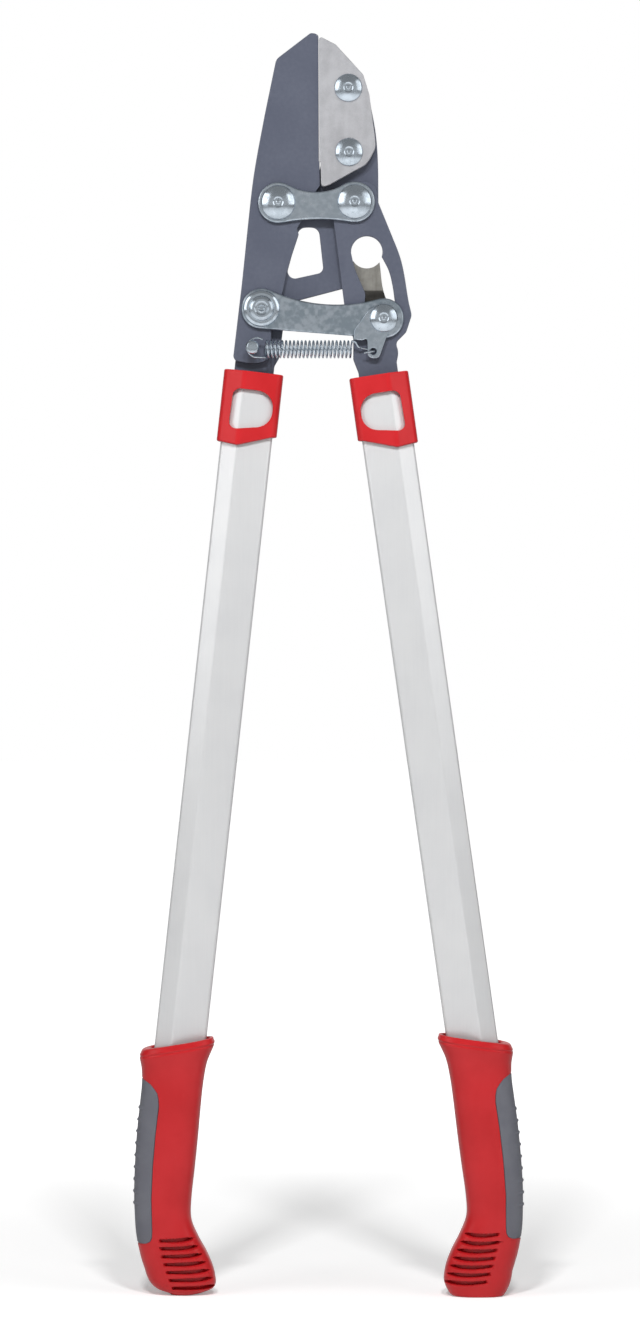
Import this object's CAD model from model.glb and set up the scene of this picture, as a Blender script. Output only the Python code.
"""The looks of an anvil lopper that stands closed on its two grips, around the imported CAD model.

Metres, +Z up, the front of the tool towards -Y. Each section makes one piece or one group of like pieces.
"""

import math
from contextlib import contextmanager

import bmesh
import bpy
import numpy as np
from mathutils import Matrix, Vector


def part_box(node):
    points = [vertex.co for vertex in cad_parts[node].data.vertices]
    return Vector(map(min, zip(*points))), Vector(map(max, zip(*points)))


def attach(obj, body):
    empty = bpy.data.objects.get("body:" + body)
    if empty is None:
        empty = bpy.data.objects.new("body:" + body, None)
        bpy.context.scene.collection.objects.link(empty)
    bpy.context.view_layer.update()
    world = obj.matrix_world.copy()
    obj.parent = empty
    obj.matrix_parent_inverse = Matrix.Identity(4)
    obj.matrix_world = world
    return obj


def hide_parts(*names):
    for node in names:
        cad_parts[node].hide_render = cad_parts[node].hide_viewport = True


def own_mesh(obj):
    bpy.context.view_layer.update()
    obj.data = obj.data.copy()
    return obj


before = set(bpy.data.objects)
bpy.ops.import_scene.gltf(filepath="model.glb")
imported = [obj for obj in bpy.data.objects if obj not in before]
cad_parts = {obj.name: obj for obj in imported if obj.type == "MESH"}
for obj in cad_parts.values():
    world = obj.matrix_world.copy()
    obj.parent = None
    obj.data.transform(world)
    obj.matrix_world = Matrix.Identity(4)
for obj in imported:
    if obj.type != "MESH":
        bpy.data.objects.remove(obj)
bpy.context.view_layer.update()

# Rear plate
# The steel plate behind everything, which carries the anvil, both main bolts and the left handle's tang.
# It is stamped from 4.5 mm sheet, its edges are broken by tumbling, and it has a satin blue-grey coat.

COAT_COLOUR = (0.088, 0.098, 0.134)
COAT_THIN_COLOUR = (0.106, 0.117, 0.155)
COAT_METALLIC = 0.25
PLATE_EDGE = 0.0005


class Socket:
    """An output of a shader node. Sums on it add Math nodes, and node() adds any other node beside it."""

    def __init__(self, tree, output=None):
        self.tree = tree
        self.output = output

    def node(self, kind, settings=None, inputs=None, output=0):
        """An output, by number or name, of a new node, once its settings and its inputs are in."""
        made = self.tree.nodes.new("ShaderNode" + kind)
        for name, value in (settings or {}).items():
            setattr(made, name, value)
        for name, value in (inputs or {}).items():
            if isinstance(value, Socket):
                self.tree.links.new(value.output, made.inputs[name])
            else:
                made.inputs[name].default_value = value
        return Socket(self.tree, made.outputs[output] if made.outputs else None)

    def maths(self, operation, *values):
        return self.node("Math", {"operation": operation}, dict(enumerate(values)))

    def __add__(self, other):
        return self.maths("ADD", self, other)

    def __sub__(self, other):
        return self.maths("SUBTRACT", self, other)

    def __rsub__(self, other):
        return self.maths("SUBTRACT", other, self)

    def __mul__(self, other):
        return self.maths("MULTIPLY", self, other)

    __radd__ = __add__
    __rmul__ = __mul__

    def ramped(self, low, high):
        """0 up to low and 1 from high on, smooth between."""
        limits = {"Value": self, "From Min": low, "From Max": high}
        return self.node("MapRange", {"interpolation_type": "SMOOTHSTEP"}, limits)

    def mixed(self, first, second):
        """The colour first where this is 0, and second where it is 1."""
        ends = [value if isinstance(value, Socket) else (*value, 1.0) for value in (first, second)]
        return self.node("Mix", {"data_type": "RGBA"}, {0: self, 6: ends[0], 7: ends[1]}, 2)


def new_material(name):
    """A material whose finish is still to come, and the place on the object that its patterns read."""
    material = bpy.data.materials.new(name)
    material.use_nodes = True
    material.node_tree.nodes.clear()
    return material, Socket(material.node_tree).node("TexCoord", output="Object")


def noise(place, scale, detail=3.0, stretch=(1.0, 1.0, 1.0)):
    """Soft noise from 0 to 1, with scale bumps to the metre, drawn out along an axis by a small stretch."""
    if stretch != (1.0, 1.0, 1.0):
        place = place.node("Mapping", None, {"Vector": place, "Scale": stretch})
    return place.node("TexNoise", None, {"Vector": place, "Scale": scale, "Detail": detail})


def bumped(height, strength, depth):
    """A normal from a height of 0 to 1, which stands for depth metres."""
    return height.node("Bump", None, {"Height": height, "Strength": strength, "Distance": depth})


def finish(material, place, **sockets):
    """Ends a material in one Principled shader, its sockets named with underscores for their spaces."""
    inputs = {name.replace("_", " "): value for name, value in sockets.items()}
    shader = place.node("BsdfPrincipled", None, inputs)
    place.node("OutputMaterial", None, {"Surface": shader})
    return material


def satin_coat(place):
    """The colour, roughness and normal of satin powder coat: fine orange peel, with thick and thin places."""
    drift = noise(place, 38.0)
    thin = (0.55 * drift + 0.45 * noise(place, 420.0)).ramped(0.35, 0.72)
    peel = bumped(noise(place, 1500.0, 2.0), 0.12, 0.0002)
    return thin.mixed(COAT_COLOUR, COAT_THIN_COLOUR), 0.40 + 0.12 * drift, peel


def coat_material():
    """The coat all over, as on the rear plate and the lever."""
    material, place = new_material("blue_grey_coat")
    colour, roughness, peel = satin_coat(place)
    return finish(
        material, place, Base_Color=colour, Metallic=COAT_METALLIC, Roughness=roughness, Normal=peel
    )


def neighbours(vert, among):
    """The vertices among these that an edge joins to this one."""
    beside = (edge.other_vert(vert) for edge in vert.link_edges)
    return [other for other in beside if other in among]


def outlines(node, share=0.5):
    """The closed outlines of a flat node at a share of its depth from the front, as across + 1j * up.

    The largest comes first. Each has the plate's material on its left, and only the points where it turns.
    """
    low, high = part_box(node)
    bm = bmesh.new()
    bm.from_mesh(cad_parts[node].data)
    bmesh.ops.remove_doubles(bm, verts=bm.verts, dist=1e-6)
    everything = bm.verts[:] + bm.edges[:] + bm.faces[:]
    level = (0.0, low.y + share * (high.y - low.y), 0.0)
    bmesh.ops.bisect_plane(
        bm, geom=everything, plane_co=level, plane_no=(0.0, 1.0, 0.0), clear_inner=True, clear_outer=True
    )
    unused = set(bm.verts)
    found = []
    while unused:
        loop = [min(unused, key=lambda vert: tuple(vert.co))]
        unused.discard(loop[0])
        while ahead := neighbours(loop[-1], unused):
            unused.discard(ahead[0])
            loop.append(ahead[0])
        found.append(np.array([complex(v.co.x, v.co.z) for v in loop]))
    bm.free()
    found.sort(key=lambda loop: -abs(area(loop)))
    loops = [loop if (area(loop) > 0) == (i == 0) else loop[::-1] for i, loop in enumerate(found)]
    return [loop[np.abs(turns(loop)) > math.radians(0.6)] for loop in loops]


def area(loop):
    """The area inside a loop, positive where it runs counter-clockwise."""
    return 0.5 * np.sum(loop.conj() * np.roll(loop, -1)).imag


def turns(loop):
    """The angle by which a loop turns at each of its points."""
    ahead = np.roll(loop, -1) - loop
    return np.angle(ahead / np.roll(ahead, 1))


def finer(loop, pieces=6):
    """A loop with its faceted arcs made round: cubic curves between points, along the loop's way at each.

    At a point between like edges the way is halfway between theirs. At the end of an arc it is the long
    edge's, so that straight edges stay straight, and at a corner sharper than 32 degrees each keeps its own.
    """
    ahead = np.roll(loop, -1) - loop
    behind = np.roll(ahead, 1)
    way, back_way = ahead / abs(ahead), behind / abs(behind)
    halfway = (way + back_way) / abs(way + back_way)
    longer = np.where(abs(ahead) > abs(behind), way, back_way)
    ratio = np.maximum(abs(ahead), abs(behind)) / np.minimum(abs(ahead), abs(behind))
    shared = np.where(ratio > 2.2, longer, halfway)
    sharp = abs(np.angle(way / back_way)) > math.radians(32)
    start = (np.where(sharp, way, shared) * abs(ahead))[:, None]
    end = (np.roll(np.where(sharp, back_way, shared), -1) * abs(ahead))[:, None]
    t = np.arange(pieces) / pieces
    first, last = loop[:, None], np.roll(loop, -1)[:, None]
    points = (
        (2 * t**3 - 3 * t**2 + 1) * first + (t**3 - 2 * t**2 + t) * start
        + (3 * t**2 - 2 * t**3) * last + (t**3 - t**2) * end
    ).ravel()
    kept = np.abs(turns(points)) > math.radians(0.25)
    return points[kept | np.isin(points, loop)]


def rim(front, back, edge, steps=4):
    """A plate's edge from front to back as insets and depths, both corners rounded to a quarter circle."""
    angle = np.linspace(0, math.pi / 2, steps + 1)
    inset = edge * (1 - np.sin(angle))
    rise = edge * (1 - np.cos(angle))
    return np.concatenate([inset, inset[::-1]]), np.concatenate([front + rise, (back - rise)[::-1]])


@contextmanager
def editing(mesh):
    """Opens a mesh as a BMesh, and writes it back at the end."""
    bm = bmesh.new()
    bm.from_mesh(mesh)
    yield bm
    bm.to_mesh(mesh)
    bm.free()


def plate_mesh(name, loops, front, back, edge):
    """A flat plate with rounded edges: the rim's profile carried round each outline, and two flat faces.

    A rim point lies at the outline's point plus the inward normal times the profile's inset.
    """
    inset, depth = rim(front, back, edge)
    points, quads = [], []
    total = 0
    for loop in loops:
        way = np.roll(loop, -1) - loop
        way = way / abs(way)
        inward = 1j * (way + np.roll(way, 1))
        inward = inward / (inward * (1j * way).conj()).real
        place = loop[None, :] + inward[None, :] * inset[:, None]
        points.append(np.stack([place.real, np.broadcast_to(depth[:, None], place.shape), place.imag], -1))
        quads.append(total + grid_quads(len(inset), len(loop)))
        total += place.size
    mesh = bpy.data.meshes.new(name)
    vertices = np.concatenate([p.reshape(-1, 3) for p in points])
    mesh.from_pydata(vertices.tolist(), [], np.concatenate(quads).tolist())
    with editing(mesh) as bm:
        for level in (front, back):
            flat = [e for e in bm.edges if all(abs(v.co.y - level) < 1e-7 for v in e.verts)]
            bmesh.ops.triangle_fill(bm, use_beauty=True, edges=[e for e in flat if e.is_boundary])
    return mesh


def grid_quads(rows, columns, wrap=False):
    """The quads of a grid of rows by columns, whose columns close into rings, and its rows too with wrap."""
    row = np.arange(rows if wrap else rows - 1)[:, None]
    column = np.arange(columns)[None, :]
    here, ahead = row * columns, (row + 1) % rows * columns
    beside = (column + 1) % columns
    return np.stack([here + column, here + beside, ahead + beside, ahead + column], -1).reshape(-1, 4)


def add_object(name, data):
    """A new object in the scene, at the origin and unturned."""
    made = bpy.data.objects.new(name, data)
    bpy.context.scene.collection.objects.link(made)
    return made


def add_piece(name, mesh, material, body, node, sharp=38.0, even=False):
    """Closes seams and poles, turns faces outwards and shades smooth up to the sharp angle, then rides."""
    with editing(mesh) as bm:
        bmesh.ops.remove_doubles(bm, verts=bm.verts, dist=2e-7)
        bmesh.ops.dissolve_degenerate(bm, edges=bm.edges, dist=1e-8)
        bmesh.ops.recalc_face_normals(bm, faces=bm.faces)
    mesh.materials.clear()
    mesh.materials.append(material)
    mesh.shade_smooth()
    mesh.set_sharp_from_angle(angle=math.radians(sharp))
    piece = add_object(name, mesh)
    if even:
        # Large flat faces keep one normal, and the rounded rims take up the turn.
        weighted = piece.modifiers.new("Even faces", "WEIGHTED_NORMAL")
        weighted.keep_sharp = True
        weighted.weight = 90
    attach(piece, body)
    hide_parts(node)
    return piece


def add_plate(name, node, material, body, edge):
    """A finer plate over a flat node, with that node's outlines and depth."""
    low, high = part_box(node)
    loops = [finer(loop) for loop in outlines(node)]
    mesh = plate_mesh(name, loops, low.y, high.y, edge)
    return add_piece(name, mesh, material, body, node, even=True)


COAT = coat_material()
add_plate("rear_plate", "anvil_arm_plate", COAT, "anvil_arm", PLATE_EDGE)

# Anvil
# The flat block that the blade closes on, cast in a soft light alloy so that it doesn't blunt the blade.
# Its face is ground flat, with fine scratches along it, and it is riveted to the rear plate's jaw.

ANVIL_COLOUR = (0.535, 0.538, 0.562)
ANVIL_DARK_COLOUR = (0.420, 0.422, 0.443)
ANVIL_EDGE = 0.0008


def anvil_material():
    """Ground alloy: a sandy grain, drawn-out grinding marks and a cloudy bloom."""
    material, place = new_material("ground_alloy")
    marks = noise(place, 260.0, 4.0, (1.0, 1.0, 0.10))
    grain = noise(place, 1900.0, 3.0)
    cloud = noise(place, 60.0, 4.0)
    blotches = noise(place, 190.0, 5.0)
    tone = (0.2 * marks + 0.2 * grain + 0.3 * cloud + 0.3 * blotches).ramped(0.36, 0.64)
    return finish(
        material, place,
        Base_Color=tone.mixed(ANVIL_DARK_COLOUR, ANVIL_COLOUR),
        Metallic=0.55,
        Roughness=0.46 + 0.14 * marks,
        Normal=bumped(0.5 * marks + 0.5 * grain, 0.25, 0.0002),
    )


add_plate("anvil_block", "anvil", anvil_material(), "anvil_arm", ANVIL_EDGE)

# Blade
# The straight steel blade in front of the rear plate, coated like it. Its cutting edge closes on the anvil.
# The front is ground in a narrow strip and the back in a wide one, down to a thin edge.

BLADE_FRONT_BEVEL = 0.0013
BLADE_BACK_BEVEL = 0.0045
BLADE_EDGE_THICKNESS = 0.0010
BEVEL_RUN_OUT = 0.0030
BEVEL_SHINE = 0.0011
BEVEL_COLOUR = (0.75, 0.76, 0.78)
HEEL_UP = 0.0262
EDGE_STRIP = 0.0015


def blade_material(edge_line, way):
    """The coat, worn off along the ground bevel: bare steel within a bevel's width of the cutting edge."""
    material, place = new_material("coated_blade")
    colour, roughness, peel = satin_coat(place)
    across, up = (place.node("SeparateXYZ", None, {"Vector": place}, axis) for axis in "XZ")
    inside = (edge_line.real + (up - edge_line.imag) * (way.real / way.imag)) - across
    worn = 1.0 - inside.ramped(BEVEL_SHINE - 0.00025, BEVEL_SHINE)
    bare = worn * up.ramped(edge_line.imag, edge_line.imag + BEVEL_RUN_OUT)
    return finish(
        material, place,
        Base_Color=(0.85 * bare).mixed(colour, BEVEL_COLOUR),
        Metallic=COAT_METALLIC + 0.6 * bare,
        Roughness=roughness - 0.08 * bare,
        Normal=peel,
    )


def vertex_places(mesh):
    """A mesh's vertices as rows of x, y and z."""
    places = np.empty(len(mesh.vertices) * 3)
    mesh.vertices.foreach_get("co", places)
    return places.reshape(-1, 3)


def cut(bm, point, normal):
    """Adds the edges where a plane crosses the mesh."""
    everything = bm.verts[:] + bm.edges[:] + bm.faces[:]
    bmesh.ops.bisect_plane(bm, geom=everything, dist=1e-8, plane_co=point, plane_no=normal)


def thin_towards_edge(mesh, edge_foot, way, front, back):
    """Presses both faces towards the middle, in step with the distance past each face's bevel line."""
    outwards = way / 1j
    middle_depth = (front + back) / 2
    with editing(mesh) as bm:
        for width in (BLADE_FRONT_BEVEL, BLADE_BACK_BEVEL):
            line = edge_foot - outwards * width
            cut(bm, (line.real, 0.0, line.imag), (outwards.real, 0.0, outwards.imag))
        for up in (edge_foot.imag, edge_foot.imag + BEVEL_RUN_OUT):
            cut(bm, (0.0, 0.0, up), (0.0, 0.0, 1.0))
    places = vertex_places(mesh)
    past = ((places[:, 0] + 1j * places[:, 2] - edge_foot) * outwards.conjugate()).real
    run = np.clip((places[:, 2] - edge_foot.imag) / BEVEL_RUN_OUT, 0, 1)
    half = (back - front) / 2
    for width, side in ((BLADE_FRONT_BEVEL, -1), (BLADE_BACK_BEVEL, 1)):
        drop = run * (half - BLADE_EDGE_THICKNESS / 2) * np.clip((past + width) / width, 0, 1)
        depth = side * (places[:, 1] - middle_depth)
        shallow = middle_depth + side * np.minimum(depth, half - drop)
        places[:, 1] = np.where(depth > 0, shallow, places[:, 1])
    mesh.vertices.foreach_set("co", places.ravel())


def middle(node):
    """The middle of a node's box."""
    low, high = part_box(node)
    return (low + high) / 2


blade_low, blade_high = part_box("blade_plate")
heel_up = middle("blade_pivot_bolt").z + HEEL_UP
blade_loops = [finer(loop) for loop in outlines("blade_plate")]
rim_points = blade_loops[0]
edge_points = rim_points[(rim_points.imag > heel_up) & (rim_points.real > blade_high.x - EDGE_STRIP)]
edge_foot = edge_points[np.argmin(edge_points.imag)]
edge_way = edge_points[np.argmax(edge_points.imag)] - edge_foot
edge_way = edge_way / abs(edge_way)
blade_mesh = plate_mesh("blade", blade_loops, blade_low.y, blade_high.y, PLATE_EDGE)
thin_towards_edge(blade_mesh, edge_foot, edge_way, blade_low.y, blade_high.y)
add_piece(
    "blade", blade_mesh, blade_material(edge_foot, edge_way), "blade", "blade_plate", even=True
)

# Lever
# The front plate that turns on the right main bolt. It is stamped and coated like the other two, has a
# keyhole window that lightens it, and ends below in the right handle's tang.

add_plate("lever", "lever_plate", COAT, "lever", PLATE_EDGE)

# Stop plate
# A small plate of bare steel behind the lever's window, clamped by the right link rivet. Its tongue is bent
# forwards above a line across the window, and its sawn end follows the window's round top.

STOP_COLOUR = (0.420, 0.408, 0.375)
STOP_DARK_COLOUR = (0.270, 0.260, 0.238)
STOP_OILY_COLOUR = (0.018, 0.016, 0.014)
STOP_BEND_TOP = 0.0185
STOP_BEND_LOW = 0.0125
STOP_BEND_DEPTH = 0.0013
STOP_EDGE = 0.0002


def stop_material(bend_top):
    """Bare brownish steel with rolling streaks, oily and darker below the bend."""
    material, place = new_material("bare_steel")
    streaks = noise(place, 300.0, 4.0, (1.0, 1.0, 0.12))
    spots = noise(place, 240.0, 3.0)
    tone = (0.6 * streaks + 0.4 * spots).ramped(0.32, 0.70)
    up = place.node("SeparateXYZ", None, {"Vector": place}, "Z")
    oily = 1.0 - up.ramped(bend_top - 0.0016, bend_top - 0.0004)
    plain = tone.mixed(STOP_DARK_COLOUR, STOP_COLOUR)
    return finish(
        material, place,
        Base_Color=(0.8 * oily).mixed(plain, STOP_OILY_COLOUR),
        Metallic=0.75,
        Roughness=0.36 + 0.18 * streaks,
        Normal=bumped(streaks, 0.2, 0.0002),
    )


def smooth_step(value, low, high):
    """0 up to low and 1 from high on. Between, three times the share's square less twice its cube."""
    share = np.clip((value - low) / (high - low), 0, 1)
    return share**2 * (3 - 2 * share)


def bend_back(mesh, bend_top, bend_low, depth):
    """Pushes the part below the bend backwards, by a smooth step from bend_top down to bend_low."""
    with editing(mesh) as bm:
        for up in np.linspace(bend_low, bend_top, 5):
            cut(bm, (0.0, 0.0, up), (0.0, 0.0, 1.0))
    places = vertex_places(mesh)
    places[:, 1] += depth * smooth_step(bend_top - places[:, 2], 0.0, bend_top - bend_low)
    mesh.vertices.foreach_set("co", places.ravel())


stop_low, stop_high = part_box("stop_plate")
link_rivet_up = middle("link_lever_rivet").z
stop_loops = [finer(loop) for loop in outlines("stop_plate", 0.8)]
stop_mesh = plate_mesh("stop_tongue", stop_loops, stop_low.y, stop_high.y - STOP_BEND_DEPTH, STOP_EDGE)
bend_back(stop_mesh, link_rivet_up + STOP_BEND_TOP, link_rivet_up + STOP_BEND_LOW, STOP_BEND_DEPTH)
stop_finish = stop_material(link_rivet_up + STOP_BEND_TOP)
add_piece("stop_tongue", stop_mesh, stop_finish, "lever", "stop_plate", even=True)

# Straps
# The strap over both main bolts, the link that drives the blade, and the small plate that holds the
# spring's end. They are stamped from 1.5 to 2.5 mm sheet, tumbled and plated with bluish zinc.

ZINC_COLOUR = (0.57, 0.64, 0.71)
ZINC_DULL_COLOUR = (0.28, 0.345, 0.40)
STRAP_EDGE = 0.0011
ANCHOR_EDGE = 0.0006


def zinc_material(name, dullness, roughness, spangle):
    """Zinc plate: cloudy patches between bright and dull, and fine grain in its gloss."""
    material, place = new_material(name)
    cloud = noise(place, 75.0, 6.0)
    patches = noise(place, 300.0, 5.0)
    grain = noise(place, 2400.0, 2.0)
    dull = (0.4 * cloud + 0.6 * patches).ramped(0.38, 0.62)
    return finish(
        material, place,
        Base_Color=(dullness * dull).mixed(ZINC_COLOUR, ZINC_DULL_COLOUR),
        Metallic=1.0,
        Roughness=roughness + 0.16 * dull,
        Normal=bumped(0.7 * patches + 0.3 * grain, spangle, 0.0002),
    )


ROLLED_ZINC = zinc_material("rolled_zinc", 0.80, 0.29, 0.20)
STAMPED_ZINC = zinc_material("stamped_zinc", 0.45, 0.27, 0.06)
TURNED_ZINC = zinc_material("turned_zinc", 0.25, 0.15, 0.08)
add_plate("head_bridge", "head_strap", STAMPED_ZINC, "anvil_arm", STRAP_EDGE)
add_plate("drive_link", "link_strap", ROLLED_ZINC, "link", STRAP_EDGE)
add_plate("spring_tab", "spring_anchor_plate", STAMPED_ZINC, "link", ANCHOR_EDGE)

# Main bolts
# Two domed bolts clamp the strap, the moving plate and the rear plate, each with a washer and a nut behind.
# Their heads are turned and polished, with a shallow cup and a small button in the middle.

DOME_EDGE = 0.0006
CUP_DEPTH = 0.00045
BOLT_RADIUS = 0.0040
# The head's radius and height, and the radii of its cup and button.
BOLT_HEAD = (0.0106, 0.0042, 0.0034, 0.0014)
THREAD_PITCH = 0.00125
THREAD_LENGTH = 0.0080
THREAD_DEPTH = 0.0005


def rounded(corners, closed=False, step=9.0):
    """A line through corners (across, up, radius) as complex numbers, each corner rounded by an arc."""
    points = []
    count = len(corners)
    for i, (across, up, radius) in enumerate(corners):
        here = complex(across, up)
        if radius <= 0 or (not closed and i in (0, count - 1)):
            points.append(here)
            continue
        back = complex(*corners[i - 1][:2]) - here
        ahead = complex(*corners[(i + 1) % count][:2]) - here
        turn = math.pi - abs(np.angle(ahead / back))
        reach = min(radius * math.tan(turn / 2), 0.49 * abs(back), 0.49 * abs(ahead))
        radius = reach / math.tan(turn / 2)
        halfway = back / abs(back) + ahead / abs(ahead)
        centre = here + halfway / abs(halfway) * math.hypot(radius, reach)
        start = here + back / abs(back) * reach - centre
        sweep = np.angle((here + ahead / abs(ahead) * reach - centre) / start)
        steps = max(2, round(abs(math.degrees(sweep)) / step))
        points.extend(centre + start * np.exp(1j * sweep * np.arange(steps + 1) / steps))
    return np.array(points)


def grid_mesh(name, points, wrap=False, ends=False):
    """A mesh over a grid of points whose columns close into rings, with its two end rings filled for ends."""
    rows, columns = points.shape[:2]
    faces = grid_quads(rows, columns, wrap).tolist()
    if ends:
        faces += [list(range(columns)), list(range((rows - 1) * columns, rows * columns))]
    mesh = bpy.data.meshes.new(name)
    mesh.from_pydata(points.reshape(-1, 3).tolist(), [], faces)
    return mesh


def rings_about(node, radius, depth, angle):
    """Rings round the middle of a node: the radius times the unit circle, at depths behind its front."""
    low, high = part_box(node)
    across = (low.x + high.x) / 2 + radius * np.cos(angle)
    up = (low.z + high.z) / 2 + radius * np.sin(angle)
    return np.stack([across, np.broadcast_to(low.y + depth, across.shape), up], -1)


def turned(name, node, profile, body, segments=96, wrap=False):
    """A turned and zinc-plated solid of revolution about the middle of a node, which it replaces.

    The profile gives radius + 1j * depth behind the node's front. It runs from the axis back to it, or is
    a closed loop for wrap.
    """
    angle = 2 * math.pi * np.arange(segments) / segments
    points = rings_about(node, profile.real[:, None], profile.imag[:, None], angle)
    return add_piece(name, grid_mesh(name, points, wrap), TURNED_ZINC, body, node)


def dome_head(radius, height, cup, button):
    """The front of a domed head: a button in a shallow cup, a soft lip, a ball's cap and a short side.

    The cap's depth at a distance r from the axis is the ball's radius less the root of its square less r's.
    """
    cap = 0.84 * height
    ball = (radius**2 + cap**2) / (2 * cap)
    top = ball - math.sqrt(ball**2 - cup**2)
    sink = top + CUP_DEPTH
    rings = np.linspace(cup + 0.0006, radius - 0.0003, 16)
    crown = [(r, ball - math.sqrt(ball**2 - r**2), 0.0) for r in rings]
    return [
        (0.0, top + 0.2 * CUP_DEPTH, 0.0),
        (0.7 * button, top + 0.3 * CUP_DEPTH, 0.0003),
        (button, sink, 0.0003),
        (0.76 * cup, sink, 0.0005),
        (cup, top, 0.0006),
        *crown,
        (radius, cap + 0.0003, 0.0004),
        (radius, height - DOME_EDGE / 3, 0.0003),
        (radius - DOME_EDGE / 3, height, 0.0),
    ]


def bolt_profile(length):
    """A domed head, a plain shank, and a thread of six ridges down to a rounded end."""
    ridges = int(THREAD_LENGTH / THREAD_PITCH)
    thread = []
    for start in length - THREAD_LENGTH + THREAD_PITCH * np.arange(ridges):
        thread.append((BOLT_RADIUS, start, 0.0))
        thread.append((BOLT_RADIUS - THREAD_DEPTH, start + THREAD_PITCH / 2, 0.0))
    return rounded([
        *dome_head(*BOLT_HEAD),
        (BOLT_RADIUS, BOLT_HEAD[1], 0.0),
        *thread,
        (BOLT_RADIUS - 0.0006, length, 0.0003),
        (0.0, length, 0.0),
    ])


def length_of(node):
    """How far a node reaches from front to back."""
    low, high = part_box(node)
    return high.y - low.y


for prefix in ("blade_pivot", "lever_pivot"):
    profile = bolt_profile(length_of(prefix + "_bolt"))
    turned(prefix + "_bolt_turned", prefix + "_bolt", profile, "anvil_arm")

# Washers and nuts behind the head
# Pressed flat washers and plain hexagon nuts, zinc plated, on the back of the rear plate.
# A nut's corners are chamfered where a cone meets the hexagon.

HOLE_GAP = 0.0003
NUT_FLATS = 0.0130
NUT_SIDES = 6
NUT_CHAMFER = 0.0014
NUT_FACE_SHARE = 0.97
NUT_STEPS = 144


def nut_points(node):
    """Rings of a nut: the lesser of the hexagon's radius at each angle and the chamfer's at each depth."""
    angle = 2 * math.pi * np.arange(NUT_STEPS) / NUT_STEPS
    side = math.pi / NUT_SIDES
    hexagon = NUT_FLATS / 2 / np.cos((angle + side) % (2 * side) - side)
    corner = NUT_FLATS / 2 / math.cos(side)
    face = NUT_FLATS / 2 * NUT_FACE_SHARE
    height = length_of(node)
    from_end = np.array([0.0, 0.0005, 0.0010, NUT_CHAMFER])
    cone = corner - (corner - face) * (1 - from_end / NUT_CHAMFER)
    cone = np.concatenate([cone, cone[::-1]])[:, None]
    bore = np.full((1, NUT_STEPS), BOLT_RADIUS + HOLE_GAP)
    radius = np.concatenate([bore, np.minimum(hexagon, cone), bore])
    depth = np.concatenate([[0.0], from_end, height - from_end[::-1], [height]])
    return rings_about(node, radius, depth[:, None], angle)


def dress(node, material):
    """Gives its material to a solid that stays as it is."""
    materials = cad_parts[node].data.materials
    materials.clear()
    materials.append(material)


for prefix in ("blade_pivot", "lever_pivot"):
    name, node = prefix + "_hexagon_nut", prefix + "_nut"
    mesh = grid_mesh(name, nut_points(node), wrap=True)
    add_piece(name, mesh, TURNED_ZINC, "anvil_arm", node, sharp=24.0, even=True)
    low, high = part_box(prefix + "_washer")
    inner, outer, thick = BOLT_RADIUS + HOLE_GAP, (high.x - low.x) / 2, high.y - low.y
    ring = rounded([
        (inner, 0.0, 0.0002), (outer, 0.0, 0.0004), (outer, thick, 0.0004), (inner, thick, 0.0002),
    ], closed=True)
    turned(prefix + "_flat_washer", prefix + "_washer", ring, "anvil_arm", wrap=True)
    dress(prefix + "_bush", TURNED_ZINC)

# Rivets and the spring's post
# Two rivets hold the anvil, one joins the link to the blade and one joins it to the lever. The link's left
# one has a raised hub, the others are domed. The post is a small shouldered rivet with a neck for the hook.

# As for the bolts: radius, height, cup and button.
ANVIL_RIVET = (0.0086, 0.0030, 0.0032, 0.0013)
LEVER_RIVET = (0.0086, 0.0034, 0.0033, 0.0013)
LINK_FLANGE = 0.0113
LINK_HUB = 0.0074
LINK_HEAD_HEIGHT = 0.0040
ANVIL_SHANK = 0.0035
TAIL_RADIUS = 0.0062
TAIL_HEIGHT = 0.0022
POST_NECK = 0.0022
POST_HEAD = 0.0042


def rivet_profile(head, shank, length):
    """A domed head, a shank, and the closed head that was formed at the far end."""
    seat = length - TAIL_HEIGHT
    return rounded([
        *dome_head(*head),
        (shank, head[1], 0.0),
        (shank, seat, 0.0),
        (TAIL_RADIUS, seat, 0.0002),
        (TAIL_RADIUS, seat + 0.5 * TAIL_HEIGHT, 0.0008),
        (0.7 * TAIL_RADIUS, length, 0.0012),
        (0.0, length, 0.0),
    ])


for node in ("anvil_rivet_upper", "anvil_rivet_lower"):
    turned(node + "_head", node, rivet_profile(ANVIL_RIVET, ANVIL_SHANK, length_of(node)), "anvil_arm")
profile = rivet_profile(LEVER_RIVET, BOLT_RADIUS, length_of("link_lever_rivet"))
turned("link_lever_rivet_head", "link_lever_rivet", profile, "lever")

length = length_of("link_blade_rivet")
profile = rounded([
    (0.0, 0.0011, 0.0),
    (0.0014, 0.0011, 0.0004),
    (0.0020, 0.0004, 0.0004),
    (0.0028, 0.0007, 0.0003),
    (0.0036, 0.0007, 0.0003),
    (0.0044, 0.0000, 0.0006),
    (LINK_HUB - 0.0016, 0.0001, 0.0010),
    (LINK_HUB, 0.0012, 0.0008),
    (LINK_HUB + 0.0004, 0.0020, 0.0003),
    (0.5 * (LINK_HUB + LINK_FLANGE), 0.0021, 0.0004),
    (LINK_FLANGE - 0.0004, 0.0029, 0.0008),
    (LINK_FLANGE, LINK_HEAD_HEIGHT, 0.0002),
    (BOLT_RADIUS, LINK_HEAD_HEIGHT, 0.0),
    (BOLT_RADIUS, length - 0.0015, 0.0),
    (BOLT_RADIUS + 0.0015, length, 0.0),
    (0.0, length, 0.0),
])
turned("link_blade_rivet_head", "link_blade_rivet", profile, "blade")

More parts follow.
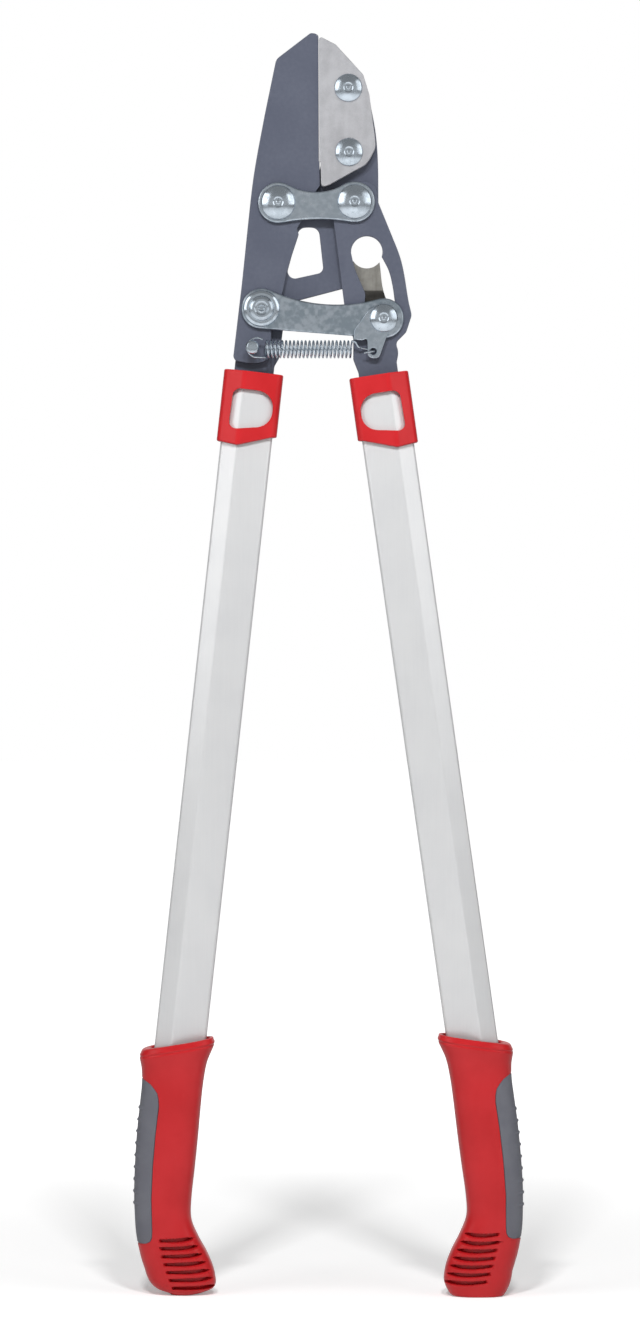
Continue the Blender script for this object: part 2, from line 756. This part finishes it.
length = length_of("spring_post")
profile = rounded([
    (0.0, 0.0003, 0.0),
    (0.0016, 0.0000, 0.0006),
    (0.80 * POST_HEAD, 0.0003, 0.0010),
    (POST_HEAD, 0.0014, 0.0008),
    (POST_HEAD, 0.0026, 0.0003),
    (POST_NECK, 0.0026, 0.0003),
    (POST_NECK, 0.0050, 0.0003),
    (POST_NECK + 0.0014, 0.0050, 0.0003),
    (POST_NECK + 0.0014, length - 0.0050, 0.0),
    (POST_NECK, length - 0.0046, 0.0),
    (POST_NECK, length - 0.0015, 0.0),
    (POST_NECK + 0.0015, length, 0.0),
    (0.0, length, 0.0),
])
turned("spring_post_turned", "spring_post", profile, "blade", segments=64)

# Return spring
# A coil of 1.2 mm zinc-plated wire, drawn out between the blade's post and the eye of the small plate.
# It pulls the tool open, and is 11 mm shorter then, so it shortens towards its eye with the link's joint.

WIRE = 0.0012
COIL_RADIUS = 0.0051
COIL_TURNS = 22.5
POINTS_A_TURN = 28
COIL_LEFT = -0.0402
COIL_RIGHT = 0.0136
COIL_UP = 0.58675
SPRING_EYE = (0.0268, 0.5856)
FRONT_FACE = blade_low.y
LAYER_GAP = 0.0003
HOOK_MIDDLE = complex(-0.0450, 0.5877)
HOOK_RADIUS = 0.0060
tab_low, tab_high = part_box("spring_anchor_plate")


def through(route, steps):
    """Catmull-Rom curves through a route's points, with steps points to a stretch and no last point."""
    route = np.array(route)
    ends = np.concatenate([[2 * route[0] - route[1]], route, [2 * route[-1] - route[-2]]])
    a, b, c, d = (ends[i : len(ends) - 3 + i, None] for i in range(4))
    t = (np.arange(steps) / steps)[:, None]
    square, cube = 2 * a - 5 * b + 4 * c - d, 3 * b - a - 3 * c + d
    return (0.5 * (2 * b + (c - a) * t + square * t**2 + cube * t**3)).reshape(-1, route.shape[1])


def spring_route():
    """The wire's middle line: a hook round the post, a helix about the X axis, and a hook through the eye."""
    depth = FRONT_FACE - LAYER_GAP - COIL_RADIUS - WIRE / 2
    count = round(COIL_TURNS * POINTS_A_TURN)
    angle = 2 * math.pi * np.arange(count + 1) / POINTS_A_TURN
    across = np.linspace(COIL_LEFT, COIL_RIGHT, count + 1)
    coil = np.stack([across, depth + COIL_RADIUS * np.sin(angle), COIL_UP - COIL_RADIUS * np.cos(angle)], -1)
    hook = HOOK_MIDDLE + HOOK_RADIUS * np.exp(1j * np.radians(np.linspace(55, 262, 10)))
    left = [*zip(hook.real, np.full(len(hook), depth), hook.imag), tuple(coil[0])]
    x, z = SPRING_EYE
    behind = (FRONT_FACE + tab_high.y) / 2
    right = [
        tuple(coil[-1]),
        (COIL_RIGHT + 0.0022, depth + 0.0006, COIL_UP + COIL_RADIUS - 0.0010),
        (COIL_RIGHT + 0.0042, depth + 0.0022, COIL_UP + 0.0014),
        (COIL_RIGHT + 0.0068, behind - 0.0006, z + 0.0018),
        (x - 0.0036, behind, z + 0.0014),
        (x - 0.0006, behind - 0.0001, z + 0.0003),
        (x + 0.0006, (tab_low.y + tab_high.y) / 2, z),
        (x - 0.0006, tab_low.y - 0.0011, z - 0.0002),
        (x - 0.0034, tab_low.y - 0.0014, z - 0.0006),
        (x - 0.0060, tab_low.y - 0.0011, z - 0.0012),
    ]
    hook_points, eye_points = 6, 8
    before = through(left, hook_points)[:-hook_points]
    return np.concatenate([before, coil[:-1], through(right, eye_points)])


def finished_mesh(holder):
    """The mesh that an object's curve or modifiers make, after which the object goes."""
    mesh = bpy.data.meshes.new_from_object(holder.evaluated_get(bpy.context.evaluated_depsgraph_get()))
    bpy.data.objects.remove(holder)
    return mesh


def wire_mesh(name, route, thickness):
    """A round wire along a route, as a mesh with both its ends closed."""
    curve = bpy.data.curves.new(name, "CURVE")
    curve.dimensions = "3D"
    curve.bevel_depth = thickness / 2
    curve.bevel_resolution = 3
    curve.use_fill_caps = True
    spline = curve.splines.new("POLY")
    spline.points.add(len(route) - 1)
    spline.points.foreach_set("co", np.column_stack([route, np.ones(len(route))]).ravel())
    return finished_mesh(add_object(name, curve))


SPRING_ZINC = zinc_material("spring_zinc", 0.25, 0.16, 0.05)
spring_mesh = wire_mesh("coil_spring", spring_route(), WIRE)
spring = add_piece("coil_spring", spring_mesh, SPRING_ZINC, "link", "return_spring", sharp=60.0)
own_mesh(spring)

# Handle tubes
# Drawn aluminium tubes with a satin anodised skin. Each has a ridge along its front and back, off the
# middle, between a wide inner face and a narrow outer one. The tang and its black insert sit in the top.

TUBE_WIDTH = 0.0316
TUBE_DEPTH = 0.0220
TUBE_SIDE = 0.0104
TUBE_RIDGE = 0.0053
TUBE_CORNER = 0.0028
TUBE_WALL = 0.0015
TUBE_FOOT = 0.0720
COLLAR_LIP = 0.0024
LEFT_TOP, LEFT_LEAN = (-0.0471, 0.5730), math.radians(6.2)
RIGHT_TOP, RIGHT_LEAN = (0.0301, 0.5713), math.radians(8.1)
RIGHT_GRIP_LIFT = 0.0040
ANODISED_COLOUR = (0.640, 0.645, 0.650)
ANODISED_DULL_COLOUR = (0.605, 0.611, 0.620)
BLACK_COLOUR = (0.016, 0.016, 0.017)
BLACK_GREY_COLOUR = (0.030, 0.030, 0.032)


class Handle:
    """Places along a leaning handle: outwards from its axis, in depth, and up its axis from the floor."""

    def __init__(self, side, way, body, top, lean, depth, grip_lift):
        self.side, self.way, self.body = side, way, body
        self.lean, self.depth, self.grip_lift = lean, depth, grip_lift
        self.length = top[1] / math.cos(lean)
        self.foot = top[0] + way * self.length * math.sin(lean)

    def up(self, out, along):
        """The height over the floor of a place on the axis, or away from it."""
        return along * math.cos(self.lean) + out * math.sin(self.lean)

    def place(self, out, deep, along):
        """The point at out across the leaning axis and along it, with deep added to the handle's depth."""
        out, deep, along = np.broadcast_arrays(out, deep, along)
        across = self.foot + self.way * (out * math.cos(self.lean) - along * math.sin(self.lean))
        return np.stack([across, self.depth + deep, self.up(out, along)], -1)


def tube_section():
    """The tube's outline across its axis, as out + 1j * deep, and its outward normal at each point."""
    half, deep, side = TUBE_WIDTH / 2, TUBE_DEPTH / 2, TUBE_SIDE / 2
    corners = [
        (half, -side), (half, side), (TUBE_RIDGE, deep),
        (-half, side), (-half, -side), (TUBE_RIDGE, -deep),
    ]
    loop = rounded([(*corner, TUBE_CORNER) for corner in corners], closed=True, step=7.0)
    way = np.roll(loop, -1) - loop
    way = way / abs(way)
    normal = (way + np.roll(way, 1)) / 1j
    return loop, normal / abs(normal)


def anodised_material():
    """Satin anodising: faint drawing lines along the tube and a slow change of gloss."""
    material, place = new_material("anodised_tube")
    lines = noise(place, 900.0, 3.0, (1.0, 1.0, 0.004))
    cloud = noise(place, 30.0)
    tone = (0.3 * lines + 0.7 * cloud).ramped(0.30, 0.70)
    return finish(
        material, place,
        Base_Color=tone.mixed(ANODISED_DULL_COLOUR, ANODISED_COLOUR),
        Metallic=0.30,
        Roughness=0.33 + 0.05 * lines,
        Normal=bumped(lines, 0.02, 0.0001),
    )


def black_plastic_material():
    """Plain black moulded plastic with a coarse grain."""
    material, place = new_material("black_insert")
    grain = noise(place, 700.0)
    return finish(
        material, place,
        Base_Color=grain.mixed(BLACK_COLOUR, BLACK_GREY_COLOUR),
        Roughness=0.5 + 0.2 * grain,
        Normal=bumped(grain, 0.2, 0.0003),
    )


ANODISED = anodised_material()
BLACK_PLASTIC = black_plastic_material()
SECTION, SECTION_NORMAL = tube_section()
HANDLES = (
    Handle("left", -1, "anvil_arm", LEFT_TOP, LEFT_LEAN, middle("anvil_arm_plate").y, 0.0),
    Handle("right", 1, "lever", RIGHT_TOP, RIGHT_LEAN, middle("lever_plate").y, RIGHT_GRIP_LIFT),
)

for handle in HANDLES:
    wall = rounded([
        (0.0, TUBE_FOOT, 0.0002),
        (0.0, handle.length - COLLAR_LIP, 0.0005),
        (-TUBE_WALL, handle.length - COLLAR_LIP, 0.0005),
        (-TUBE_WALL, TUBE_FOOT, 0.0002),
    ], closed=True, step=30.0)
    around = SECTION[None, :] + SECTION_NORMAL[None, :] * wall.real[:, None]
    points = handle.place(around.real, around.imag, wall.imag[:, None])
    name, node = handle.side + "_tube", handle.side + "_handle_tube"
    mesh = grid_mesh(name, points, wrap=True)
    add_piece(name, mesh, ANODISED, handle.body, node)
    dress(handle.side + "_tang_insert", BLACK_PLASTIC)

# Collars
# Red moulded sleeves over the tubes' top ends. Each has a window through its front and back, with a flat
# outer side and a round inner one, through which the tube shows. Every edge is softly rounded.

COLLAR_GAP = 0.0003
COLLAR_WALL = 0.0023
COLLAR_LENGTH = 0.0462
COLLAR_CUT = 0.0080
COLLAR_ROUND = 0.0011
# Each corner's distance outwards and down from the tube's top, and its radius.
WINDOW_CORNERS = (
    (0.0112, 0.0113, 0.0045), (0.0120, 0.0370, 0.0045), (-0.0142, 0.0325, 0.0105), (-0.0142, 0.0113, 0.0105),
)
WINDOW_ROUND = 0.0009
RED_COLOUR = (0.450, 0.011, 0.014)
RED_LIGHT_COLOUR = (0.500, 0.016, 0.020)


def red_plastic_material():
    """Satin moulded plastic: a very fine grain, and colour that drifts a little with the wall."""
    material, place = new_material("red_plastic")
    drift = noise(place, 45.0)
    grain = noise(place, 2600.0, 2.0)
    return finish(
        material, place,
        Base_Color=drift.ramped(0.3, 0.7).mixed(RED_COLOUR, RED_LIGHT_COLOUR),
        Roughness=0.33 + 0.08 * drift,
        Specular_IOR_Level=0.35,
        Normal=bumped(grain, 0.08, 0.0001),
    )


def collar_points(handle):
    """The wall's rounded profile carried round the tube's section.

    Its lower end falls from the inner side to the ridge and rises a little again, so a profile point's
    height is that of the lower edge there, plus its own, up to the level top.
    """
    wall = rounded([
        (COLLAR_GAP, 0.0, 0.0003),
        (COLLAR_GAP + COLLAR_WALL, 0.0, COLLAR_ROUND),
        (COLLAR_GAP + COLLAR_WALL, COLLAR_LENGTH, COLLAR_ROUND),
        (COLLAR_GAP, COLLAR_LENGTH, 0.0003),
    ], closed=True, step=15.0)
    out = SECTION.real
    inner, outer = -TUBE_WIDTH / 2 - COLLAR_WALL, TUBE_WIDTH / 2 + COLLAR_WALL
    rise = np.where(
        out < TUBE_RIDGE,
        COLLAR_CUT * (TUBE_RIDGE - out) / (TUBE_RIDGE - inner),
        0.2 * COLLAR_CUT * (out - TUBE_RIDGE) / (outer - TUBE_RIDGE),
    )
    share = np.clip(1 - wall.imag / COLLAR_LENGTH, 0, 1)[:, None]
    around = SECTION[None, :] + SECTION_NORMAL[None, :] * wall.real[:, None]
    along = handle.length - COLLAR_LENGTH + wall.imag[:, None] + rise[None, :] * share
    return handle.place(around.real, around.imag, along)


def faced_outwards(mesh):
    """The same mesh, with its faces turned to point out of it."""
    with editing(mesh) as bm:
        bmesh.ops.recalc_face_normals(bm, faces=bm.faces)
    return mesh


def window_cutter(handle):
    """A bar through the collar from front to back, with the window's rounded outline below the tube's top."""
    top = handle.length
    outline = rounded([(out, top - down, radius) for out, down, radius in WINDOW_CORNERS], closed=True)
    points = handle.place(outline.real[None, :], np.array([[-0.03], [0.03]]), outline.imag[None, :])
    name = handle.side + "_window"
    return add_object(name, faced_outwards(grid_mesh(name, points, ends=True)))


def windowed(mesh, cutter):
    """The mesh less the cutter, with the new edges rounded."""
    holder = add_object(mesh.name + "_holder", faced_outwards(mesh))
    step = holder.modifiers.new("Window", "BOOLEAN")
    step.object, step.operation, step.solver = cutter, "DIFFERENCE", "EXACT"
    soft = holder.modifiers.new("Soft edge", "BEVEL")
    soft.width, soft.segments = WINDOW_ROUND, 3
    soft.limit_method, soft.angle_limit = "ANGLE", math.radians(50)
    made = finished_mesh(holder)
    bpy.data.objects.remove(cutter)
    return made


RED_PLASTIC = red_plastic_material()
for handle in HANDLES:
    name = handle.side + "_sleeve"
    mesh = windowed(grid_mesh(name, collar_points(handle), wrap=True), window_cutter(handle))
    add_piece(name, mesh, RED_PLASTIC, handle.body, handle.side + "_collar", even=True)

# Grips
# Red moulded grips that sweep inwards at the foot to stop the hand. The rim flares and slopes, and the
# tube drops into a mouth in it. Seven grip slots run across the front and the back of the foot.

# Rows up the grip: along it, the inner side, the outer side, half the depth, and the slope to the outside.
GRIP_ROWS = np.array([
    (-0.0060, -0.0250, -0.0115, 0.0085, 0.0),
    (0.0010, -0.0262, -0.0105, 0.0100, 0.0),
    (0.0040, -0.0303, -0.0018, 0.0120, 0.0),
    (0.0075, -0.0364, 0.0028, 0.0134, 0.0),
    (0.0110, -0.0381, 0.0050, 0.0140, 0.0),
    (0.0150, -0.0374, 0.0068, 0.0142, 0.0),
    (0.0215, -0.0351, 0.0097, 0.0144, 0.0),
    (0.0300, -0.0303, 0.0127, 0.0145, 0.0),
    (0.0385, -0.0243, 0.0150, 0.0145, 0.0),
    (0.0490, -0.0187, 0.0168, 0.0145, 0.0),
    (0.0620, -0.0173, 0.0186, 0.0146, 0.0),
    (0.0800, -0.0173, 0.0200, 0.0148, 0.0),
    (0.1000, -0.0172, 0.0209, 0.0150, 0.0),
    (0.1190, -0.0168, 0.0210, 0.0150, -0.05),
    (0.1320, -0.0168, 0.0211, 0.0150, -0.14),
    (0.1430, -0.0178, 0.0222, 0.0156, -0.22),
    (0.1525, -0.0210, 0.0243, 0.0168, -0.28),
    (0.1560, -0.0202, 0.0236, 0.0160, -0.28),
])
LIFTED_FOOT = np.array([
    (-0.0062, -0.0300, -0.0040, 0.0110, 0.0),
    (-0.0030, -0.0322, -0.0020, 0.0118, 0.0),
    (0.0015, -0.0352, 0.0012, 0.0128, 0.0),
    (0.0065, -0.0373, 0.0036, 0.0136, 0.0),
])
GRIP_POWER = 0.72
FOOT_ROUND = 0.0014
LIP_HEIGHT = 0.0013
BEAD_HEIGHT = 0.0032
BEAD_GROOVE = 0.00040
MOUTH_GAP = 0.0018
MOUTH_DEPTH = 0.0070
SLOTS = 7
SLOT_SPACING = 0.00494
SLOT_FIRST_UP = {"left": 0.0346, "right": 0.0384}
SLOT_RISE = {"left": (0.0, 0.0010), "right": (0.0013, 0.0008)}
SLOT_DEPTH = 0.0036
SLOT_OUTER_END, SLOT_OUTER_SHIFT = -0.0004, -0.0112
SLOT_INNER_END, SLOT_INNER_SHIFT, SLOT_INNER_BEND = -0.0218, -0.0205, 0.0043
SLOT_HALF = 0.00095
SLOT_SWELL = 0.00045
PAD_DEPTH = 0.0020
PAD_GAP = 0.0003
# Along the grip, and how far out the pad's edge lies there.
PAD_EDGE = np.array([
    (0.0308, 0.0170), (0.0312, 0.0120), (0.0320, 0.0075), (0.0335, 0.0050),
    (0.0360, 0.0041), (0.0400, 0.0043), (0.0600, 0.0070), (0.0800, 0.0083),
    (0.1000, 0.0088), (0.1180, 0.0086), (0.1230, 0.0094), (0.1268, 0.0106),
    (0.1300, 0.0130), (0.1331, 0.0157), (0.1352, 0.0187), (0.1367, 0.0213),
])
ROW_STEPS = 24


def smooth_rows(handle):
    """The grip's rows, with curves through them.

    A grip that sits higher on its tube has a wider foot, so that it too reaches the floor with a full end.
    """
    rows = GRIP_ROWS
    if handle.grip_lift > 0:
        rows = np.concatenate([LIFTED_FOOT, GRIP_ROWS[len(LIFTED_FOOT) :]])
    return np.concatenate([through(rows, ROW_STEPS), rows[-1:]])


def grip_skin(rows, angle, sink):
    """(out, deep, along) on the grip's skin, sink under it.

    Each row is a rounded oblong: the powers of the cosine and sine of the angle, times its half width and
    half depth. Angle 0 is the outer side. Towards the rim the rows slope down outwards.
    """
    along, inside, outside, deep, slope = (rows[:, i, None] for i in range(5))
    centre = (inside + outside) / 2
    cosine, sine = np.cos(angle), np.sin(angle)
    out = centre + ((outside - inside) / 2 - sink) * np.sign(cosine) * np.abs(cosine) ** GRIP_POWER
    depth = (deep - sink) * np.sign(sine) * np.abs(sine) ** GRIP_POWER
    return out, depth, along + slope * (out - centre)


def pad_angle(rows):
    """The angle at which the pad's edge lies on each row: the skin's angle for the edge's distance out."""
    along, inside, outside = rows[:, 0], rows[:, 1], rows[:, 2]
    out = np.interp(along, PAD_EDGE[:, 0], PAD_EDGE[:, 1])
    share = np.clip((out - (inside + outside) / 2) / ((outside - inside) / 2), 0.05, 0.97)
    return np.arccos(share ** (1 / GRIP_POWER))


def slot_sink(out, along, handle):
    """How far the slots sink the skin: square at the outer end, widest past the middle, then pointed.

    Slot by slot the outer end moves inwards, and so does the inner one, by a little less each time.
    """
    up = handle.up(out, along + handle.grip_lift)
    outer_rise, inner_rise = SLOT_RISE[handle.side]
    sink = np.zeros_like(out)
    for number in range(SLOTS):
        share = number / (SLOTS - 1)
        start = SLOT_OUTER_END + SLOT_OUTER_SHIFT * share**1.35
        end = SLOT_INNER_END + SLOT_INNER_SHIFT * share + SLOT_INNER_BEND * share**2
        run = (out - start) / (end - start)
        point = np.clip((run - 0.75) / 0.25, 0, 1)
        half = (SLOT_HALF + SLOT_SWELL * smooth_step(run, 0.0, 0.6)) * np.sqrt(1 - point**2)
        slot_up = SLOT_FIRST_UP[handle.side] - number * SLOT_SPACING
        slot_up = slot_up + outer_rise * np.clip(1 - run / 0.7, 0, 1) ** 2
        slot_up = slot_up + inner_rise * np.clip((run - 0.3) / 0.7, 0, 1) ** 2
        across = smooth_step(half - np.abs(up - slot_up), -0.00012, 0.00022)
        ends = smooth_step(run, 0.0, 0.02) * smooth_step(1 - run, 0.0, 0.02)
        sink = np.maximum(sink, SLOT_DEPTH * across * ends)
    return sink


def tube_ring(angle, grow):
    """The tube's section grown by grow, at these angles about its axis."""
    loop = SECTION + SECTION_NORMAL * grow
    order = np.argsort(np.angle(loop))
    radius = np.interp(angle, np.angle(loop)[order], np.abs(loop)[order], period=2 * math.pi)
    return radius * np.cos(angle), radius * np.sin(angle)


def grip_points(handle):
    """The grip from the middle of its foot up its skin, over the lip, and down the mouth and the bore."""
    rows = smooth_rows(handle)
    edge = pad_angle(rows)[:, None]
    pad_share = np.linspace(-1, 1, 37)[None, :]
    red_share = np.linspace(0, 1, 171)[None, :]
    angle = np.concatenate([edge * pad_share * 0.999, edge + 2 * (math.pi - edge) * red_share], 1)
    pocket = smooth_step(rows[:, 0], PAD_EDGE[0, 0] - PAD_GAP, PAD_EDGE[0, 0])
    pocket = pocket * (1 - smooth_step(rows[:, 0], PAD_EDGE[-1, 0], PAD_EDGE[-1, 0] + PAD_GAP))
    sink = np.zeros_like(angle)
    sink[:, : pad_share.size] = (PAD_DEPTH + PAD_GAP) * pocket[:, None]
    out, _, along = grip_skin(rows, angle, 0.0)
    bead = (rows[-1, 0] - BEAD_HEIGHT - rows[:, 0]) / 0.0006
    sink = sink + BEAD_GROOVE * np.exp(-bead**2)[:, None]
    sink = sink + slot_sink(out, along, handle) * smooth_step(np.abs(np.sin(angle)), 0.05, 0.14)
    out, deep, along = grip_skin(rows, angle, sink)
    skin = handle.place(out, deep, along + handle.grip_lift)
    skin[..., 2] = (skin[..., 2] + np.sqrt(skin[..., 2] ** 2 + FOOT_ROUND**2)) / 2

    last = angle[-1]
    rim_out, rim_deep, rim_along = out[-1], deep[-1], along[-1] + handle.grip_lift
    mouth_out, mouth_deep = tube_ring(last, MOUTH_GAP)
    centre = (rows[-1, 1] + rows[-1, 2]) / 2
    mouth_along = rows[-1, 0] + handle.grip_lift + rows[-1, 4] * (mouth_out - centre)
    roll = np.linspace(0, math.pi, 9)[1:, None]
    share = (1 - np.cos(roll)) / 2
    lip = handle.place(
        rim_out + (mouth_out - rim_out) * share,
        rim_deep + (mouth_deep - rim_deep) * share,
        rim_along + (mouth_along - rim_along) * share + LIP_HEIGHT * np.sin(roll),
    )
    bore_out, bore_deep = tube_ring(last, PAD_GAP)
    mouth_floor = mouth_along - MOUTH_DEPTH
    inside = [
        handle.place(mouth_out, mouth_deep, mouth_floor),
        handle.place(bore_out, bore_deep, mouth_floor),
        handle.place(bore_out, bore_deep, np.full_like(bore_out, TUBE_FOOT - PAD_GAP)),
    ]
    return np.concatenate([skin, lip, np.array(inside)])


for handle in HANDLES:
    name = handle.side + "_hand_grip"
    mesh = grid_mesh(name, grip_points(handle), ends=True)
    add_piece(name, mesh, RED_PLASTIC, handle.body, handle.side + "_grip", sharp=50.0)

# Grip pads
# Dark grey soft pads moulded into a pocket on the outer side of each grip, flush with it.
# Nine small ribs cross the outer side, where the fingers close.

RIBS = 9
RIB_FIRST_UP, RIB_LAST_UP = 0.0570, 0.1165
RIB_HEIGHT = 0.0008
RIB_HALF = 0.0012
PAD_ROUND = 0.0006
PAD_COLOUR = (0.116, 0.119, 0.141)
PAD_WORN_COLOUR = (0.134, 0.138, 0.160)


def pad_material():
    """Soft rubber: matt, with a fine stipple and faint paler scuffs."""
    material, place = new_material("grey_pad")
    stipple = noise(place, 2200.0, 2.0)
    scuff = noise(place, 70.0, 4.0)
    return finish(
        material, place,
        Base_Color=scuff.ramped(0.35, 0.7).mixed(PAD_COLOUR, PAD_WORN_COLOUR),
        Roughness=0.58 + 0.12 * scuff,
        Normal=bumped(stipple, 0.22, 0.0002),
    )


def pad_points(handle):
    """Rings round the pad: out along the skin from edge to edge, then back along the pocket's floor.

    Near an edge the skin sinks on a quarter circle. Each rib is a cosine bump in height, over the outer side.
    """
    rows = smooth_rows(handle)
    inside = (rows[:, 0] > PAD_EDGE[0, 0] + PAD_GAP) & (rows[:, 0] < PAD_EDGE[-1, 0] - PAD_GAP)
    rows = rows[inside]
    edge = pad_angle(rows)[:, None] * 0.985
    share = np.sin(np.linspace(-math.pi / 2, math.pi / 2, 61))[None, :]
    half_width = ((rows[:, 2] - rows[:, 1]) / 2)[:, None]
    border = (1 - np.abs(share)) * edge * half_width
    ends = np.minimum(rows[:, 0] - rows[0, 0], rows[-1, 0] - rows[:, 0])[:, None]
    near = np.clip(1 - np.minimum(border, ends) / PAD_ROUND, 0, 1)
    sink = PAD_ROUND * (1 - np.sqrt(1 - near**2))
    out, _, along = grip_skin(rows, edge * share, 0.0)
    up = handle.up(out, along + handle.grip_lift)
    spacing = (RIB_LAST_UP - RIB_FIRST_UP) / (RIBS - 1)
    nearest = RIB_FIRST_UP + spacing * np.clip(np.round((up - RIB_FIRST_UP) / spacing), 0, RIBS - 1)
    rib = 0.5 + 0.5 * np.cos(math.pi * np.clip((up - nearest) / RIB_HALF, -1, 1))
    rib = rib * (1 - smooth_step(np.abs(edge * share), 0.45, 0.75))
    top = grip_skin(rows, edge * share, sink - RIB_HEIGHT * rib)
    floor = grip_skin(rows, edge * share[:, ::-1], PAD_DEPTH)
    out, deep, along = (np.concatenate([upper, lower], 1) for upper, lower in zip(top, floor))
    return handle.place(out, deep, along + handle.grip_lift)


PAD_RUBBER = pad_material()
for handle in HANDLES:
    name = handle.side + "_soft_pad"
    mesh = grid_mesh(name, pad_points(handle), ends=True)
    add_piece(name, mesh, PAD_RUBBER, handle.body, handle.side + "_grip_pad", sharp=50.0)

# Studio
# A pale floor that runs into a white surround, and a camera a little above the tool's middle, tipped down.
# Two key lamps high in front lay the grips' shadows on the floor behind. The soft boxes show in the metal.

CAMERA_PLACE = (-0.0060, -3.00, 0.455)
CAMERA_AIM_UP = 0.3946
CAMERA_ROLL = math.radians(-0.075)
FRAME_HEIGHT = 0.8190
SENSOR = 36.0
WHITE = (1.0, 1.0, 1.0, 1.0)
FLOOR_COLOUR = (0.88, 0.88, 0.88, 1.0)
FLOOR_SIZE = 12.0
FLOOR_BACK = 2.0
FLOOR_GLOW = 0.255
GLOW_RISE = 0.95
GLOW_MOST = 0.98
FLOOR_IN_METAL = 0.20
FRONT_LEVEL = 0.52
HIGH_SHADE = 0.42
SIDE_SHADE = 0.7
SOFT_LEVEL = 0.11
KEY_PLACE = (0.245, -1.30, 1.62)
KEY_AIM_UP = 0.4
KEY_SIZE = (0.20, 0.20)
KEY_POWER = 16.5
SOFT_PLACE = (1.70, -1.05, 1.25)
SOFT_AIM_UP = 0.5
SOFT_SIZE = (1.25, 1.5)
SOFT_POWER = 10.0
LEFT_EXTRA = 1.0


def studio_floor():
    """A wide pale floor. Seen by the camera it glows a little near the tool, and more with the distance."""
    bpy.ops.mesh.primitive_plane_add(size=FLOOR_SIZE, location=(0.0, FLOOR_BACK, 0.0))
    floor = bpy.context.object
    floor.name = "studio_floor"
    material, place = new_material("pale_floor")
    pale = place.node("BsdfDiffuse", None, {"Color": FLOOR_COLOUR})
    from_tool = {0: place, 1: (0.0, -FLOOR_BACK, 0.0)}
    distance = place.node("VectorMath", {"operation": "DISTANCE"}, from_tool, "Value")
    strength = distance.maths("MINIMUM", FLOOR_GLOW + GLOW_RISE * distance * distance, GLOW_MOST)
    glow = place.node("Emission", None, {"Color": WHITE, "Strength": strength})
    both = place.node("AddShader", None, {0: pale, 1: glow})
    seen, glossy = (place.node("LightPath", output=f"Is {kind} Ray") for kind in ("Camera", "Glossy"))
    shader = place.node("MixShader", None, {0: seen + FLOOR_IN_METAL * glossy, 1: pale, 2: both})
    place.node("OutputMaterial", None, {"Surface": shader})
    floor.data.materials.append(material)


def studio_world():
    """White to the camera. Metal sees it white behind the tool, half lit in front, darker aside and above."""
    world = bpy.data.worlds.new("studio")
    world.use_nodes = True
    world.node_tree.nodes.clear()
    direction = Socket(world.node_tree).node("TexCoord", output="Generated")
    across, away, up = (direction.node("SeparateXYZ", None, {"Vector": direction}, axis) for axis in "XYZ")
    aside = 1.0 - SIDE_SHADE * across.maths("ABSOLUTE", across).ramped(0.50, 0.80)
    behind = away.ramped(0.70, 0.90)
    above = 1.0 - HIGH_SHADE * up.ramped(0.15, 0.60)
    mirrored = (FRONT_LEVEL + (1.0 - FRONT_LEVEL) * behind) * aside * above
    kinds = ("Camera", "Glossy", "Transmission")
    seen, glossy, passed = (direction.node("LightPath", output=f"Is {kind} Ray") for kind in kinds)
    metal = (glossy + passed) * (1.0 - seen)
    level = seen + metal * mirrored + SOFT_LEVEL * (1.0 - seen - metal) * aside
    background = direction.node("Background", None, {"Color": WHITE, "Strength": level})
    direction.node("OutputWorld", None, {"Surface": background})
    bpy.context.scene.world = world


def add_lamp(handle, kind, place, aim_up, size, power):
    """A rectangular lamp on a handle's side, at a place from the middle out, that points at the tool."""
    name = handle.side + kind
    lamp = bpy.data.lights.new(name, "AREA")
    lamp.shape = "RECTANGLE"
    lamp.size, lamp.size_y = size
    lamp.energy = power
    holder = add_object(name, lamp)
    x, y, z = place[0] * handle.way, place[1], place[2]
    holder.location = (x, y, z)
    holder.rotation_euler = (math.atan2(math.hypot(x, y), z - aim_up), 0.0, math.atan2(-y, -x) - math.pi / 2)
    return holder


def add_camera():
    """The camera in front of the tool, tipped down to the middle of its height."""
    camera = bpy.data.cameras.new("camera")
    camera.sensor_fit = "VERTICAL"
    camera.sensor_height = SENSOR
    drop = CAMERA_PLACE[2] - CAMERA_AIM_UP
    camera.lens = SENSOR * math.hypot(CAMERA_PLACE[1], drop) / FRAME_HEIGHT
    holder = add_object("camera", camera)
    holder.location = CAMERA_PLACE
    holder.rotation_euler = (math.pi / 2 - math.atan2(drop, -CAMERA_PLACE[1]), CAMERA_ROLL, 0.0)
    bpy.context.scene.camera = holder


studio_floor()
studio_world()
for handle in HANDLES:
    extra = -LEFT_EXTRA * handle.way
    key_lamp = add_lamp(handle, "_key_lamp", KEY_PLACE, KEY_AIM_UP, KEY_SIZE, KEY_POWER + extra)
    key_lamp.visible_glossy = False
    add_lamp(handle, "_soft_box", SOFT_PLACE, SOFT_AIM_UP, SOFT_SIZE, SOFT_POWER + extra)
add_camera()
bpy.context.scene.view_settings.view_transform = "Standard"
